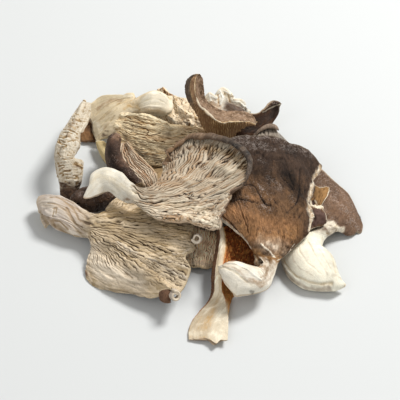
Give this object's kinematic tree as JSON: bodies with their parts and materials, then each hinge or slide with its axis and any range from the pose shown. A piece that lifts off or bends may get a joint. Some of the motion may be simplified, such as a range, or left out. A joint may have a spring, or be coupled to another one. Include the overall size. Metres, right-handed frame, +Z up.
{
  "type": "dried oyster mushroom cluster",
  "caption": "Heap of dried oyster mushroom caps, fans, stems and torn pieces that keeps its shape as one bunch; gilled and skin sides show.",
  "frame": {"origin": "on the resting surface under the middle of the heap's bounding box", "axes": "+Z up, +Y towards the back of the heap, -Y towards its front, +X to its right"},
  "size_m": [0.1884, 0.1876, 0.0577],
  "materials": {
    "under_scrap_back": "dried mushroom, leathery brown skin side, matt with a faint sheen",
    "pale_frilly_fragment": "dried mushroom, pale cream flesh, matt and fibrous",
    "dark_cap_back_right": "dried mushroom, leathery brown skin side, matt with a faint sheen",
    "rolled_rim_fragment": "dried mushroom, matt ribbed gill side",
    "gilled_piece_back": "dried mushroom, matt ribbed gill side",
    "shaded_cap_left": "dried mushroom, leathery brown skin side, matt with a faint sheen",
    "pale_stem_flap": "dried mushroom, pale cream flesh, matt and fibrous",
    "pale_stem_strip": "dried mushroom, pale cream flesh, matt and fibrous",
    "under_cap_left": "dried mushroom, matt ribbed gill side",
    "gilled_cap_rear": "dried mushroom, matt ribbed gill side",
    "cupped_cap_top": "dried mushroom, matt ribbed gill side",
    "curled_strip_left": "dried mushroom, matt ribbed gill side",
    "twisted_dark_cap": "dried mushroom, leathery brown skin side, matt with a faint sheen",
    "folded_dark_cap": "dried mushroom, leathery brown skin side, matt with a faint sheen",
    "under_cap_center": "dried mushroom, leathery brown skin side, matt with a faint sheen",
    "under_cap_right": "dried mushroom, leathery brown skin side, matt with a faint sheen",
    "brown_cap_right": "dried mushroom, leathery brown skin side, matt with a faint sheen",
    "tan_curled_fragment": "dried mushroom, matt ribbed gill side",
    "gilled_piece_under": "dried mushroom, matt ribbed gill side",
    "under_fan_center": "dried mushroom, matt ribbed gill side",
    "split_mushroom_edge": "dried mushroom, pale cream flesh, matt and fibrous",
    "brown_cap_large": "dried mushroom, leathery brown skin side, matt with a faint sheen",
    "gilled_fan_left": "dried mushroom, matt ribbed gill side",
    "gilled_cap_center": "dried mushroom, matt ribbed gill side"
  },
  "bodies": {
    "root": {"under_scrap_back": "under_scrap_back", "pale_frilly_fragment": "pale_frilly_fragment", "dark_cap_back_right": "dark_cap_back_right", "rolled_rim_fragment": "rolled_rim_fragment", "gilled_piece_back": "gilled_piece_back", "shaded_cap_left": "shaded_cap_left", "pale_stem_flap": "pale_stem_flap", "pale_stem_strip": "pale_stem_strip", "under_cap_left": "under_cap_left", "gilled_cap_rear": "gilled_cap_rear", "cupped_cap_top": "cupped_cap_top", "curled_strip_left": "curled_strip_left", "twisted_dark_cap": "twisted_dark_cap", "folded_dark_cap": "folded_dark_cap", "under_cap_center": "under_cap_center", "under_cap_right": "under_cap_right", "brown_cap_right": "brown_cap_right", "tan_curled_fragment": "tan_curled_fragment", "gilled_piece_under": "gilled_piece_under", "under_fan_center": "under_fan_center", "split_mushroom_edge": "split_mushroom_edge", "brown_cap_large": "brown_cap_large", "gilled_fan_left": "gilled_fan_left", "gilled_cap_center": "gilled_cap_center"}
  },
  "joints": []
}
